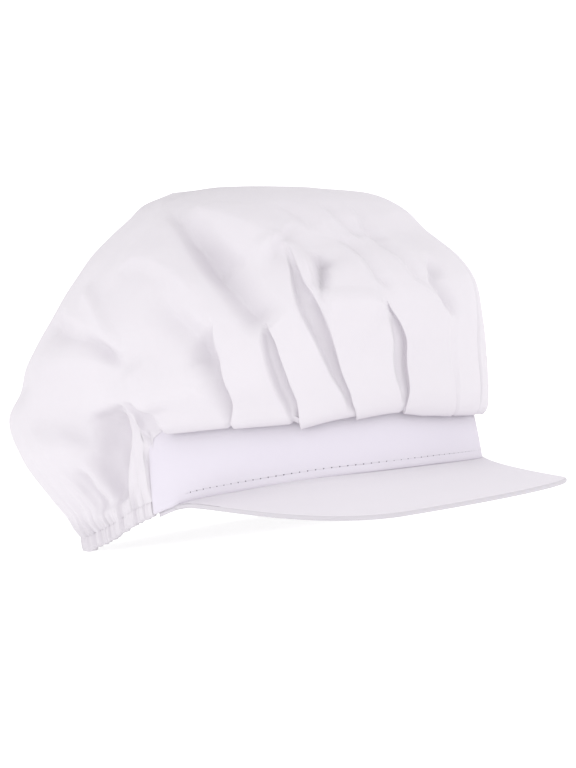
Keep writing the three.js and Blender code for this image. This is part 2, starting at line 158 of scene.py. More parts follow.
class MaterialMaker:
    def __init__(self, name):
        self.material = bpy.data.materials.new(name)
        self.material.use_nodes = True
        self.tree = self.material.node_tree
        self.tree.nodes.clear()

    def node(self, kind, settings=None, inputs=None, output=0):
        made = self.tree.nodes.new(kind)
        for key, value in (settings or {}).items():
            if key == "stops":
                for stop, (position, colour) in zip(self.rampStops(made, len(value)), value):
                    stop.position, stop.color = position, colour
            else:
                setattr(made, key, value)
        for key, value in (inputs or {}).items():
            if isinstance(value, Wire):
                self.tree.links.new(value.socket, made.inputs[key])
            else:
                made.inputs[key].default_value = value
        return Wire(self, made.outputs[output]) if len(made.outputs) else made

    def rampStops(self, ramp, count):
        while len(ramp.color_ramp.elements) < count:
            ramp.color_ramp.elements.new(0.5)
        return ramp.color_ramp.elements

    def noise(self, place, scale, detail, roughness=0.5):
        settings = {"Vector": place, "Scale": scale, "Detail": detail, "Roughness": roughness}
        return self.node("ShaderNodeTexNoise", None, settings)

    def sine(self, value):
        return self.node("ShaderNodeMath", dict(operation="SINE"), {0: value})

    def mixColour(self, factor, a, b):  # a Mix node's colours are its inputs 6 and 7, and its output 2
        return self.node("ShaderNodeMix", dict(data_type="RGBA"), {0: factor, 6: a, 7: b}, output=2)

    def finish(self, shader):
        self.node("ShaderNodeOutputMaterial", None, {"Surface": shader})
        return self.material


crownCloth = dict(  # the other cloths start from this one
    colour=(0.78, 0.745, 0.79), faded=(0.765, 0.73, 0.775), shadow=(0.64, 0.61, 0.655),
    thread=0.55, threadWander=2.0, weaveTone=0.16, weaveHeight=0.05, slubHeight=0.6,  # thread: its pitch
    slubScale=420.0, mottleScale=38.0, rumpleScale=95.0, rumple=0.2,
    roughness=0.8, mottledRoughness=0.14, sheen=0.08, sheenRoughness=0.6, specular=0.25,
    paintedShadeReach=16.0, paintedShadeRate=1.7, paintedShadeMost=0.42,  # painted shade in folds and hollows: from how near, how fast, the most
)


def clothMaterial(name, look):
    m = MaterialMaker(name)
    uv = m.node("ShaderNodeTexCoord", output="UV")
    place = m.node("ShaderNodeTexCoord", output="Object")
    u = m.node("ShaderNodeSeparateXYZ", None, {0: uv}, output="X")
    v = m.node("ShaderNodeSeparateXYZ", None, {0: uv}, output="Y")
    turns = 2 * math.pi / look["thread"]
    slub = m.noise(place, look["slubScale"], detail=2.0)
    wander = slub * look["threadWander"]
    weave = m.sine(u * turns + wander) * m.sine(v * turns + wander) * 0.5 + 0.5
    mottle = m.noise(place, look["mottleScale"], detail=5.0, roughness=0.6)
    rumple = m.noise(place, look["rumpleScale"], detail=4.0, roughness=0.55)
    soft = m.node("ShaderNodeValToRGB", dict(stops=[(0.35, (0, 0, 0, 1)), (0.7, (1, 1, 1, 1))]), {0: mottle})
    shadow = (*look["shadow"], 1)
    plain = m.mixColour(soft, (*look["colour"], 1), (*look["faded"], 1))
    woven = m.mixColour(weave * look["weaveTone"], plain, shadow)
    # painted shade: ambient occlusion darkens the base colour towards the shadow colour in folds, creases and
    # hollows
    openness = m.node("ShaderNodeAmbientOcclusion", dict(samples=8), {"Distance": look["paintedShadeReach"] * mm},
                      output="AO")
    paintedFoldShade = m.node("ShaderNodeMath", dict(operation="MINIMUM"),
                  {0: (1 - openness) * look["paintedShadeRate"], 1: look["paintedShadeMost"]})
    height = weave * look["weaveHeight"] + slub * (look["weaveHeight"] * look["slubHeight"])
    height = height + rumple * look["rumple"]
    shader = m.node("ShaderNodeBsdfPrincipled", None, {
        "Base Color": m.mixColour(paintedFoldShade, woven, shadow),
        "Roughness": mottle * look["mottledRoughness"] + look["roughness"],
        "Sheen Weight": look["sheen"],
        "Sheen Roughness": look["sheenRoughness"],
        "Specular IOR Level": look["specular"],
        "Normal": m.node("ShaderNodeBump", None, {"Height": height, "Strength": 1.0, "Distance": mm}),
    })
    return m.finish(shader)


def dress(obj, material, node=None):  # its cloth, its body, and the CAD node that it stands for
    obj.data.materials.append(material)
    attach(obj, "root")
    if node:
        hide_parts(node)


# The band's and the hem's lines, which the crown follows too

band = dict(
    height=33.0, thickness=1.3, endAngle=86.0,
    corner=7.0, cornerDrop=8.0,  # the rounded upper rear corner: its turn and its drop
    lean=2.0, leanCurve=1.8, endLean=0.4,  # the top leans in by mm, and the ends forward by degrees
    waver=0.18, waverSeed=31, waverPitch=7.0,  # its face is never quite even
    edge=[  # angle, height of the lower edge
        (-90, 12), (-75, 15.5), (-60, 15.6), (-40, 14.6), (-20, 15.3), (0, 16.6),
        (20, 17.9), (40, 19), (60, 18.5), (72, 17.5), (80, 15.6), (90, 12)],
    outside=[  # share of the height, out: the face, with a shallow groove under the topstitch
        (0.0, -0.35), (0.012, 0), (0.05, 0), (0.09, 0), (0.105, -0.04), (0.12, 0), (0.2, 0.02), (0.35, 0.05),
        (0.5, 0.06), (0.65, 0.05), (0.8, 0.02), (0.9, 0), (0.97, 0), (0.992, -0.1), (1.0, -0.35)],
    inside=[(1.0, 0.175), (0.97, 0), (0.5, 0), (0.03, 0), (0.0, 0.175)],
)
hem = dict(
    height=7.0, thickness=1.6, start=86.4,
    pullsIn=3.0, pullsInOver=(140, 180),  # the elastic draws the nape in
    flare=1.2, flareOver=(95, 125),  # and the hem stands out beside it
    puckers=dict(  # seed, pitch, then seed and pitch of its wander
        fine=(11, 3.2, 5, 7), middle=(17, 8.5, 6, 15), broad=(23, 21, None, None)),
    wander=1.6, depth=0.8, fadeIn=3.0,
    ripple=0.25, rippleRate=1.9, rippleSeed=41, clearsFloor=0.35, restsBelow=0.6,  # flat where it rests
    edge=[  # angle from the right end round the nape, height of the lower edge
        (85, 13), (94, 9.7), (106, 4.3), (118, 1.3), (126, 0), (142, 0), (152, 2.4), (165, 6.5), (180, 9),
        (195, 9.4), (208, 6), (218, 2.4), (228, 0), (244, 0), (254, 2.6), (266, 8.2), (275, 12.5)],
    outside=[  # height, out
        (0.0, -0.1), (0.25, 0.4), (1.4, 0.75), (3.2, 0.8), (4.9, 0.8), (5.6, 0.65), (6.1, 0.6), (7.0, 0.2)],
    inside=[(7.0, -1.15), (4.5, -1.8), (1.4, -1.8), (0.25, -1.5), (0.0, -1.1)],
)


def bandEdgeZ(angle):
    return alongTable(band["edge"], angle)


def bandTopZ(angle):
    into = (np.abs(angle) - (band["endAngle"] - band["corner"])) / band["corner"]
    drop = 1 - np.sqrt(np.clip(1 - np.clip(into, 0, 1) ** 2, 0, 1))
    return bandEdgeZ(angle) + band["height"] - drop * band["cornerDrop"]


def roundNape(angle):  # the hem's angles run on past 180 to the left side
    angle = np.asarray(angle, float)
    return np.where(angle < 0, angle + 360, angle)


def hemEdgeZ(angle):
    return alongTable(hem["edge"], roundNape(angle))


def hemInset(angle):
    turn = 180 - np.abs(roundNape(angle) - 180)
    return hem["pullsIn"] * smooth(turn, *hem["pullsInOver"]) - hem["flare"] * smooth(turn, *hem["flareOver"])


def pucker(angle, size):  # the gathers' waves, shared by the hem and the cloth above it
    seed, pitch, wanderSeed, wanderPitch = hem["puckers"][size]
    arc = arcAt(roundNape(angle))
    phase = arc * 2 * np.pi / pitch
    if wanderSeed:
        phase = phase + hem["wander"] * wave(wanderSeed, arc / wanderPitch)
    return wave(seed, phase)


# Crown

crown = dict(
    profiles=1440,  # round the crown's plain form
    rows=(2, 5, 5, 5, 7, 14, 12, 12, 12, 11, 10, 9, 9, 10, 12),  # mesh rows between a profile's points
    # Degrees between its columns, and the least between two kinds of them, before a pleat and elsewhere
    columnsApart=dict(plain=0.8, strip=0.45, corner=0.33, fold=0.0028, beforePleat=0.6, least=0.1),
    pleatClear=(1.45, 6.4), cornerColumns=(82.3, 90.4),  # angles beside a pleat's edge and the band's end
    seamOut=-2.2, seamRise=0.7,  # where it is sewn inside the band's top
    tuck=(82.8, 86.0), tuckOut=-1.75, tuckRise=-1.5,  # where it passes behind the band's end
    tuckHides=((82.4, 83.1), (85.8, 86.25)), tuckRises=(-0.5, 2.5),  # where it stays inside that end
    lipFades=(76.0, 80.5), lipStart=1.2, sideFuller=(58, 66),
    hemOut=-0.25, hemLap=0.6,
    cheekAngle=93.0, cheekReach=(2.0, 19.0), cheekPull=7.0, cheekFades=(58, 96),  # flatter behind the band
    # How far out it may stand over the band's rear corner, and what frees it again behind that corner
    mostOut=(0.3, 9.5), mostOutRises=(40, 64), mostOutEnds=(89, 102), freed=30,
    pleatsEnd=76.0, backFullness=0.84,
    lipEdge=[  # angle, height of the overhang's lower edge
        (-90, 44), (-75, 41), (-60, 37), (-44, 33.5), (-20, 33.8), (-4, 35.6), (4, 37), (12, 39.9),
        (44, 42.5), (60, 44.8), (76, 45.6), (90, 47.2)],
    # The five points of a profile above its foot, as out and rise. lip: over the band, and what the
    # sides add to out. flush: over the band's rear corner, with no overhang. back: above the hem.
    # cheek: above the hem's ends, just behind the band.
    lipPath=[(2.2, 0, 0), (1.6, 1.2, 0), (2.6, 0.2, 0), (4.9, 2.4, 0.7), (6.7, 8.5, 2.3)],
    flushPath=[(-0.9, 0.3), (-0.2, 1.5), (0.8, 3), (2.6, 6), (6.2, 11)],
    backPath=[(2.4, 4), (5, 10), (10.1, 18), (15.4, 27), (20.3, 38)],
    cheekPath=[(0.3, 5), (0.3, 11), (0.4, 17), (0.9, 23), (2.4, 30)],
    sections=[  # z, half width, front, back, middle
        (62, 92.5, 104, 121.3, 5), (78, 90.4, 107, 108.3, 3), (91, 88, 106.1, 93.3, 0),
        (103, 82, 98.3, 79.1, -2), (114, 73.5, 84.7, 70.6, -3), (124, 64.9, 77.5, 62.1, -3),
        (133, 53.3, 64.1, 53.8, -1), (140, 38.4, 37.4, 50, 6), (145.4, 24.6, 6.4, 48, 18)],
    apex=(0.0, 39.8, 149.5),
    # A pleat's folded edge stands over a sunk strip of cloth behind it. Each row of its line: height,
    # angle, how wide the strip is and how deep, in mm. rim: the share of its width over which the strip
    # comes up again. droops: how far the edge's foot hangs.
    pleats=[
        dict(side=1, at=10.5, droops=0.6, rim=0.12, line=[
            (41, 10.5, 2, 0.9), (48.6, 9.1, 4.6, 2.0), (54.3, 8.3, 5.7, 2.8), (67, 7.2, 5.6, 2.7),
            (75.4, 9.1, 4.4, 2.3), (81, 11.2, 2.6, 1.5), (85, 12.7, 1.2, 0.6), (88, 13.5, 1, 0)]),
        dict(side=1, at=25, droops=1.4, rim=0.3, line=[
            (41, 25, 2.6, 1.2), (48, 25.8, 3.6, 1.6), (60, 25.6, 6.2, 2.6), (77.7, 28.6, 9.8, 3.9),
            (89.1, 30.9, 10.6, 4.0), (98.2, 32.9, 7.4, 2.8), (104, 33, 5, 1.8), (110, 32.6, 3, 0.7),
            (115, 32.6, 1, 0)]),
        dict(side=1, at=40, droops=2.6, rim=0.5, line=[
            (43.8, 40, 4, 1.3), (48, 39.9, 6, 2.4), (53, 39.6, 8, 3.4), (60.7, 38.8, 9, 3.6),
            (73.1, 41, 8.4, 3.4), (78.5, 42.4, 6.4, 2.9), (82, 43.3, 4, 1.6), (85, 44.3, 2, 0)]),
        dict(side=1, at=57.2, droops=0.6, rim=0.95, line=[
            (45.8, 57.4, 2, 0.8), (52, 56, 6, 2.4), (60.8, 53.2, 10.5, 4.4), (71.7, 54.6, 12, 4.6),
            (80, 56.6, 11, 3), (86, 56.6, 7, 0.9), (92, 57.6, 1, 0)]),
        dict(side=-1, at=8, droops=0.3, rim=0.4, line=[
            (40, 8, 2, 0.7), (54, 8, 5, 0.6), (68, 8.5, 6, 0.3), (80, 9.5, 4, 0)]),
        dict(side=-1, at=23, droops=0.3, rim=0.45, line=[
            (38, 23, 3, 1.3), (54, 24, 6, 1.4), (72, 26, 8, 1.3), (88, 28.5, 7, 1), (104, 31, 1, 0)]),
        dict(side=-1, at=39, droops=0.8, rim=0.4, line=[
            (36, 39, 3, 2), (54, 39.5, 6, 2.8), (70, 40.5, 7, 2.8), (84, 43, 5, 1.8), (98, 46, 1, 0)]),
        dict(side=-1, at=56, droops=0.8, rim=0.9, line=[
            (38, 56, 3, 1.2), (56, 56, 8, 2.2), (70, 56.5, 9, 2), (90, 59, 1, 0)]),
    ],
    pleatFold=[  # the way round a pleat's edge: how far under it, share of the depth
        (0.9, 0.0), (0.4, 0.0), (0.08, 0.04), (0.0, 0.12), (0.1, 0.22), (0.35, 0.34),
        (0.65, 0.48), (0.9, 0.62), (1.0, 0.75), (0.95, 0.87), (0.7, 0.96), (0.3, 1.0), (-0.2, 1.0)],
    laps=1.1, foldSpread=0.14, foldCloses=1.5,  # its lap in mm, and how it opens where the pleat ends
    lipShare=0.25, lipRows=(5, 12),  # pleats are shallower under the lip
    leastStrip=0.8, leastRim=(1.3, 0.6), stripRises=0.2, leastRadius=20,  # so that no strip closes up
    # Folds and creases, as strokes through (angle, z) points from their lower end up. depth sinks
    # (negative) or lifts the cloth. left and right are the reach in mm to each side, seen from outside,
    # or a pair for the reach at the start and at the end. crisp: 0 is a soft swell and 1 two flat facets
    # that meet in a crease. ends: the share of the length that fades at each end.
    folds=[
        # the right side above the pleats: a long valley, the tongue, and the hollows beside it
        dict(path=[(43.4, 82), (46.4, 89), (50.2, 99.5), (54.6, 110.5), (61.8, 123), (72, 134), (84, 141)],
             depth=-8.6, left=(7.5, 3), right=(12, 6), crisp=0.5, ends=(0.08, 0.6)),
        dict(path=[(30.3, 89.8), (30.1, 96.7), (30.4, 105.1), (31.5, 112.5), (35.7, 115.6), (40.5, 114),
                   (44.7, 108.7)],
             depth=2.8, left=4, right=4.5, crisp=0.7, ends=(0.1, 0.3)),
        dict(path=[(29.7, 89.5), (28.6, 98.3), (26.6, 104.5), (24.6, 110.5)],
             depth=-4.8, left=2.6, right=(2.2, 4), crisp=0.6, ends=(0.3, 0.25)),
        dict(path=[(26, 106), (22, 107.5), (14, 108)],
             depth=-1.8, left=4, right=7, crisp=0.4, ends=(0.1, 0.7)),
        dict(path=[(29.8, 88.9), (25.5, 89.2), (20, 88), (15.6, 85.8), (12, 82)],
             depth=2.4, left=5, right=14, crisp=0.6, ends=(0.1, 0.2)),
        dict(path=[(57.9, 94.9), (64.9, 108.4), (76.8, 117.8), (86, 119.9), (90.3, 116.4), (88.5, 107.5)],
             depth=2.4, left=4.5, right=12, crisp=0.5),
        dict(path=[(56.5, 66), (57.5, 74), (60.3, 82.2), (65, 90.9), (71.1, 101.8), (75, 108)],
             depth=-5.2, left=9, right=6, crisp=0.4, ends=(0.25, 0.5)),
        dict(path=[(32.6, 115.9), (39.4, 120.7), (47.7, 126.8), (59.5, 133.3), (70, 138)],
             depth=4.4, left=16, right=13, crisp=1.0, ends=(0.06, 0.3)),
        # the folds that run back from the pleats
        dict(path=[(79.8, 79.8), (84.9, 89.9), (92.2, 101.6), (107.1, 113.6)],
             depth=2.2, left=6, right=4, crisp=0.9),
        dict(path=[(79.1, 76.3), (84.6, 81.5), (92.7, 89), (107.3, 96), (124, 101)],
             depth=-5.0, left=(2, 15), right=(4, 8), crisp=1.0, ends=(0.25, 0.15)),
        dict(path=[(75.9, 54), (74.4, 66.5), (78.3, 77.8)],
             depth=2.6, left=8, right=10, crisp=0.4),
        # the dents behind the band's right end, and the ridge and creases between them
        dict(path=[(84, 57), (90, 56), (97, 53.5)],
             depth=-5.0, left=16, right=4, crisp=0.4, ends=(0.15, 0.3)),
        dict(path=[(96.6, 17), (96.3, 25.6), (95.3, 34.3), (93.1, 43.5), (90.6, 52), (89, 57)],
             depth=-7.5, left=13, right=2.8, crisp=0.7, ends=(0.04, 0.25)),
        dict(path=[(104.5, 16), (105.8, 25.9), (104.9, 39)],
             depth=-4.6, left=7, right=3.5, crisp=0.5, ends=(0.1, 0.4)),
        dict(path=[(112, 75), (124, 74), (137, 72), (150, 69)],
             depth=-2.4, left=9, right=9, crisp=0.3),
        dict(path=[(100.5, 18), (101.7, 26.8), (102.7, 36.4), (102.9, 43.1)],
             depth=1.3, left=4, right=4, crisp=0.4),
        dict(path=[(92.5, 19), (90.3, 29.4), (88, 40.2)],
             depth=-1.3, left=2.4, right=2, crisp=0.9, ends=(0.05, 0.4)),
        dict(path=[(88.4, 20), (88, 33.3)],
             depth=-1.0, left=2, right=1.6, crisp=0.9, ends=(0.05, 0.5)),
        # creases of the front and the top
        dict(path=[(-7.4, 84.1), (0, 94.6), (1.9, 109.4), (1.5, 119.5), (-1.4, 129.9)],
             depth=-1.6, left=2.4, right=6, crisp=1.0, ends=(0.15, 0.15)),
        dict(path=[(-13, 74.6), (-8.9, 83.1), (-6.8, 92.4), (-11.2, 102.8)],
             depth=-4.0, left=3.2, right=6, crisp=0.8),
        dict(path=[(9.4, 89), (12.4, 96.8), (12.3, 106.4), (12.5, 112.4), (17.7, 116.5)],
             depth=-1.6, left=2.4, right=5, crisp=1.0, ends=(0.15, 0.15)),
        dict(path=[(-4.7, 112.6), (7, 115.5), (10.5, 124), (10.4, 131.9)],
             depth=-1.3, left=2.6, right=5, crisp=1.0, ends=(0.15, 0.15)),
        dict(path=[(17.7, 116.5), (8, 113.5), (-2, 116)],
             depth=1.0, left=3, right=5, crisp=1.0, ends=(0.15, 0.3)),
        dict(path=[(22, 119), (24, 126), (30, 134)],
             depth=-1.3, left=3, right=6, crisp=0.9),
        dict(path=[(45, 112), (51, 113), (56, 110)],
             depth=-1.1, left=2.5, right=4, crisp=0.8),
        # the left side
        dict(path=[(-48, 84), (-54, 100), (-66, 118), (-80, 134)],
             depth=-6.0, left=(11, 6), right=(7, 3), crisp=0.5, ends=(0.1, 0.6)),
        dict(path=[(-80, 54), (-78, 68), (-84, 84)], depth=2.2, left=10, right=8, crisp=0.4),
        dict(path=[(-97, 30), (-96, 48), (-92, 60)], depth=-4.8, left=4, right=12, crisp=0.5),
        # the back
        dict(path=[(-122, 28), (-120, 50), (-116, 72)], depth=-3.4, left=9, right=10, crisp=0.3),
        dict(path=[(-151, 26), (-151, 44), (-149, 64)], depth=-5.0, left=10, right=9, crisp=0.3),
        dict(path=[(-173, 34), (-172, 54), (-169, 78)], depth=-4.8, left=10, right=9, crisp=0.4),
        dict(path=[(165, 26), (163, 46), (160, 64)], depth=-4.4, left=9, right=9, crisp=0.4),
        dict(path=[(-150, 84), (-160, 98), (-175, 112), (160, 124)],
             depth=-3.2, left=9, right=12, crisp=0.6),
    ],
    creaseWidth=0.6, facetRound=0.03,
    seamRows=(8, 17), hemRows=(1, 7), seamEnds=(86.5, 92),  # rows over which folds fade in from below
    gathers=dict(  # above the hem: depth, what the nape adds, and the rise over which they fade
        fine=dict(depth=0.8, nape=0.0, fades=(-1, 13)),
        middle=dict(depth=0.8, nape=0.5, fades=(2, 34)),
        broad=dict(depth=0.9, nape=1.6, fades=(12, 60), starts=(-2, 10))),
    gathersStart=(86.5, 90), napeStarts=(122, 142),
    unevenness=[(38.0, 1.0), (14.0, 0.32)],  # size and depth of the unevenness of worn cloth
)


def pleatsOf(side):
    return [p for p in crown["pleats"] if p["side"] == side]


def pleatLine(p, z, column):  # column 1 is the edge's angle, 2 the strip's width and 3 its depth
    return alongTable([(row[0], row[column]) for row in p["line"]], z)


def columnTurn(foot, z):  # how far a column has turned at a height, with the pleats
    side = 1 if foot >= 0 else -1
    knots = [(0.0, 0.0 * z)]
    knots += [(p["at"], pleatLine(p, z, 1) - p["at"]) for p in pleatsOf(side)]
    knots += [(crown["pleatsEnd"], 0.0 * z), (181.0, 0.0 * z)]
    turn = abs(foot)
    for (a, low), (b, high) in zip(knots, knots[1:]):
        if turn <= b:
            return side * lerp(low, high, (turn - a) / (b - a))
    return 0.0 * z


def footDroop(angle):  # the lower edge hangs a little at each fold's foot
    drop = np.zeros_like(angle)
    for side in (-1, 1):
        previous = 0.0
        for p in pleatsOf(side):
            share = (side * angle - previous) / (p["at"] - previous)
            drop += np.where((share > 0) & (share <= 1.0), p["droops"] * np.clip(share, 0, 1) ** 1.5, 0)
            previous = p["at"]
    return drop


def lowerProfile(angles):  # the crown's points from its seam or the hem up to its fullest section
    turn = np.abs(angles)
    behind = smooth(turn, *crown["tuck"])
    overhang = 1 - smooth(turn, *crown["lipFades"])
    cheek = 1 - smooth(np.abs(turn - crown["cheekAngle"]), *crown["cheekReach"])
    fuller = smooth(turn, *crown["sideFuller"])
    freed = crown["freed"] * smooth(turn, *crown["mostOutEnds"])
    bandZ = bandTopZ(np.clip(angles, -band["endAngle"], band["endAngle"]))
    seamZ = bandZ + lerp(crown["tuckRise"], crown["seamRise"], overhang)
    hemZ = hemEdgeZ(angles) + hem["height"] - crown["hemLap"]
    inset = hemInset(angles)
    front = offOpening(angles, lerp(crown["tuckOut"], crown["seamOut"], overhang), seamZ)
    back = offOpening(angles, crown["hemOut"] - inset, hemZ)
    points = [lerp(front, back, behind[:, None])]
    lipZ = alongTable(crown["lipEdge"], angles)
    droop = footDroop(angles)
    tuckLow, tuckHigh = (bandZ + rise for rise in crown["tuckRises"])
    for i, (lipOut, lipRise, sideOut) in enumerate(crown["lipPath"]):
        flush, hang, cheekPoint = crown["flushPath"][i], crown["backPath"][i], crown["cheekPath"][i]
        z = lipZ + lipRise - droop * (i < 4)  # the highest point doesn't hang
        if i == 0:
            z = np.maximum(seamZ - crown["lipStart"], lipZ)
        z = lerp(bandZ + flush[1], z, overhang)
        out = lerp(flush[0], lipOut + sideOut * fuller, overhang)
        z = lerp(z, hemZ + lerp(hang[1], cheekPoint[1], cheek), behind)
        out = lerp(out, lerp(hang[0], cheekPoint[0], cheek) - inset, behind)
        mostOut = lerp(*crown["mostOut"], smooth(z, *crown["mostOutRises"])) + freed
        out = np.where(turn > crown["tuck"][0], np.minimum(out, mostOut), out)
        inside = (1 - smooth(z, tuckLow, tuckHigh)) * between(turn, *crown["tuckHides"])
        out = lerp(out, np.minimum(out, crown["tuckOut"]), inside)
        points.append(offOpening(angles, out, z))
    return points, cheek


def crownProfiles():  # the control points of its profiles, one column for each angle
    angles = np.linspace(-180, 180, crown["profiles"], endpoint=False)
    points, cheek = lowerProfile(angles)
    a = np.radians(angles)
    inFront = np.cos(a) > 0
    fullness = np.where(inFront, 1.0, crown["backFullness"])
    for z, halfWidth, frontReach, backReach, middle in crown["sections"]:
        reach = np.where(inFront, frontReach + middle, backReach - middle)
        width = halfWidth - cheek * crown["cheekPull"] * (1 - smooth(z, *crown["cheekFades"]))
        x = -width * np.sign(np.sin(a)) * np.abs(np.sin(a)) ** fullness
        y = middle - reach * np.sign(np.cos(a)) * np.abs(np.cos(a)) ** fullness
        points.append(np.stack([x, y, np.full(len(angles), float(z))], -1))
    points.append(np.tile(np.array(crown["apex"]), (len(angles), 1)))
    return np.stack(points, 1)


def throughPoints(points, counts):  # centripetal curve through points (columns, n, 3)
    n = points.shape[1]
    first = 2 * points[:, :1] - points[:, 1:2]
    last = 2 * points[:, -1:] - points[:, -2:-1]
    p = np.concatenate([first, points, last], 1)
    rows = []
    for k in range(n - 1):
        p0, p1, p2, p3 = p[:, k], p[:, k + 1], p[:, k + 2], p[:, k + 3]
        d1 = np.maximum(np.linalg.norm(p1 - p0, axis=1) ** 0.5, 1e-3)[:, None]
        d2 = np.maximum(np.linalg.norm(p2 - p1, axis=1) ** 0.5, 1e-3)[:, None]
        d3 = np.maximum(np.linalg.norm(p3 - p2, axis=1) ** 0.5, 1e-3)[:, None]
        m1 = ((p1 - p0) / d1 - (p2 - p0) / (d1 + d2) + (p2 - p1) / d2) * d2
        m2 = ((p2 - p1) / d2 - (p3 - p1) / (d2 + d3) + (p3 - p2) / d3) * d2
        for s in range(counts[k] + (k == n - 2)):
            rows.append(hermite(p1, p2, m1, m2, s / counts[k]))
    return np.stack(rows, 1)


class PlainForm:  # the crown without its folds, sampled by angle and row
    def __init__(self):
        self.points = throughPoints(crownProfiles(), crown["rows"])
        across = np.roll(self.points, -1, 0) - np.roll(self.points, 1, 0)
        up = np.gradient(self.points, axis=1)
        self.normals = unit(np.cross(up, across))
        self.normals[:, -1] = (0, 0, 1)
        self.rows = self.points.shape[1]

    def sample(self, grid, angles, rows):
        spot = (np.asarray(angles) + 180) / 360 * crown["profiles"]
        low = np.floor(spot).astype(int)
        share = (spot - low)[..., None]
        a = grid[low % crown["profiles"], rows]
        b = grid[(low + 1) % crown["profiles"], rows]
        return a * (1 - share) + b * share

    def place(self, angle, z):  # its point and normal at a height, over the lip where there is one
        column = int(round((angle + 180) / 360 * crown["profiles"])) % crown["profiles"]
        start = 0 if abs(angle) > band["endAngle"] else sum(crown["rows"][:3])
        heights = self.points[column, start:, 2]
        spot = np.interp(z, heights, np.arange(len(heights)))
        k = min(int(spot), len(heights) - 2)
        point = lerp(self.points[column, start + k], self.points[column, start + k + 1], spot - k)
        return point, self.normals[column, start + k]


plainForm = PlainForm()


def strokeHeight(points, stroke):  # how far a fold sinks or lifts each point
    path, normals = zip(*(plainForm.place(*spot) for spot in stroke["path"]))
    lengths = [np.linalg.norm(b - a) for a, b in zip(path, path[1:])]
    best = np.full(len(points), 1e9)
    side = np.zeros(len(points))
    share = np.zeros(len(points))
    done = 0.0
    for a, b, normal, length in zip(path, path[1:], normals, lengths):
        d = b - a
        t = np.clip(((points - a) @ d) / (d @ d), 0, 1)
        away = points - (a + t[:, None] * d)
        distance = np.linalg.norm(away, axis=1)
        nearer = distance < best
        best = np.where(nearer, distance, best)
        side = np.where(nearer, away @ unit(np.cross(d, normal)), side)
        share = np.where(nearer, (done + t * length) / sum(lengths), share)
        done += length
    fadeIn, fadeOut = stroke.get("ends", (0.25, 0.25))
    taper = between(share, (-0.02, fadeIn), (1 - fadeOut, 1.02))
    left, right = (lerp(*v, share) if isinstance(v, tuple) else v for v in (stroke["left"], stroke["right"]))
    reach = lerp(left, right, smooth(side, -1.0, 1.0))
    swell = np.exp(-(best / reach) ** 2)
    crease, soft = crown["creaseWidth"], crown["facetRound"]
    slope = 1 - (np.sqrt(best * best + crease * crease) - crease) / reach
    facets = (slope + np.sqrt(slope * slope + soft)) / (1 + math.sqrt(1 + soft))
    return stroke["depth"] * taper * lerp(swell, facets, stroke["crisp"])


def crownColumns():  # the mesh's columns at its seam: angle, and the pleat and step if it is in a fold
    apart, fold = crown["columnsApart"], crown["pleatFold"]
    before, behind = crown["pleatClear"]
    ahead, past = before + apart["beforePleat"], behind + apart["least"]
    first, last = crown["cornerColumns"]
    columns = []
    for side in (-1, 1):
        spots = []
        for p in pleatsOf(side):
            spots += [(p["at"] + apart["fold"] * (k - (len(fold) - 1) / 2), p, k) for k in range(len(fold))]
            spots += [(p["at"] + extra, None, 0) for extra in np.arange(before, behind, apart["strip"])]
            spots += [(p["at"] - before - extra, None, 0) for extra in (0.0, apart["strip"])]
        for angle in np.arange(0 if side > 0 else apart["plain"], 179.7, apart["plain"]):
            if not any(-ahead < angle - p["at"] < past for p in pleatsOf(side)):
                spots.append((angle, None, 0))
            if 90 < angle < 178:
                spots.append((angle + apart["plain"] / 2, None, 0))
        spots = [s for s in spots if s[1] or not first - apart["least"] < s[0] < last + apart["least"]]
        spots += [(a, None, 0) for a in np.arange(first, last, apart["corner"])]
        spots.sort(key=lambda s: side * s[0])
        columns += [(side * a, p, k) for a, p, k in spots]
    return columns


def hollowHeight(foot, z, radius):  # the cloth dives into the hollow behind each folded edge
    turn = abs(foot)
    height = 0.0 * z
    for p in pleatsOf(1 if foot >= 0 else -1):
        if turn > p["at"]:
            away = np.radians(turn - p["at"]) * radius
            width = np.maximum(pleatLine(p, z, 2), crown["leastStrip"])
            leastRim = np.minimum(crown["leastRim"][0], crown["leastRim"][1] * width)
            rim = np.maximum(p["rim"] * width, leastRim)
            floor = pleatLine(p, z, 3) * (1 - crown["stripRises"] * away / width)
            height = height - floor * smooth(width - away, 0, rim)
    return height


def layPleats(columns, rowIndex):  # each point's angle, and its height off the plain form
    free = lerp(crown["lipShare"], 1.0, smooth(rowIndex, *crown["lipRows"]))
    middle = (len(crown["pleatFold"]) - 1) / 2
    angles = np.zeros((len(columns), len(rowIndex)))
    heights = np.zeros_like(angles)
    for i, (foot, p, step) in enumerate(columns):
        z = plainForm.sample(plainForm.points, np.full(len(rowIndex), foot), rowIndex)[:, 2]
        angle = foot + columnTurn(foot, z)
        centre = plainForm.sample(plainForm.points, angle, rowIndex)[:, :2]
        radius = np.maximum(np.linalg.norm(centre, axis=1), crown["leastRadius"])
        if p is None:
            height = hollowHeight(foot, z, radius) * free
        else:
            under, share = crown["pleatFold"][step]
            depth = pleatLine(p, z, 3)
            shift = under * np.minimum(crown["laps"], depth * 0.5) * free
            spread = (step - middle) * crown["foldSpread"] * (1 - smooth(depth, 0, crown["foldCloses"]))
            angle = p["side"] * (abs(angle) + spread - np.degrees(shift / radius))
            height = -depth * share * free
        angles[i], heights[i] = angle, height
    return angles, heights


def gatherHeight(angles, z):  # the gathers above the elastic
    turn = np.abs(angles)
    rise = z - hemEdgeZ(angles) - hem["height"]
    nape = smooth(turn, *crown["napeStarts"])
    height = np.zeros_like(z)
    for size, gather in crown["gathers"].items():
        shown = 1 - smooth(rise, *gather["fades"])
        if "starts" in gather:
            shown = shown * smooth(rise, *gather["starts"])
        height += (gather["depth"] + gather["nape"] * nape) * pucker(angles, size) * shown
    return height * smooth(turn, *crown["gathersStart"])


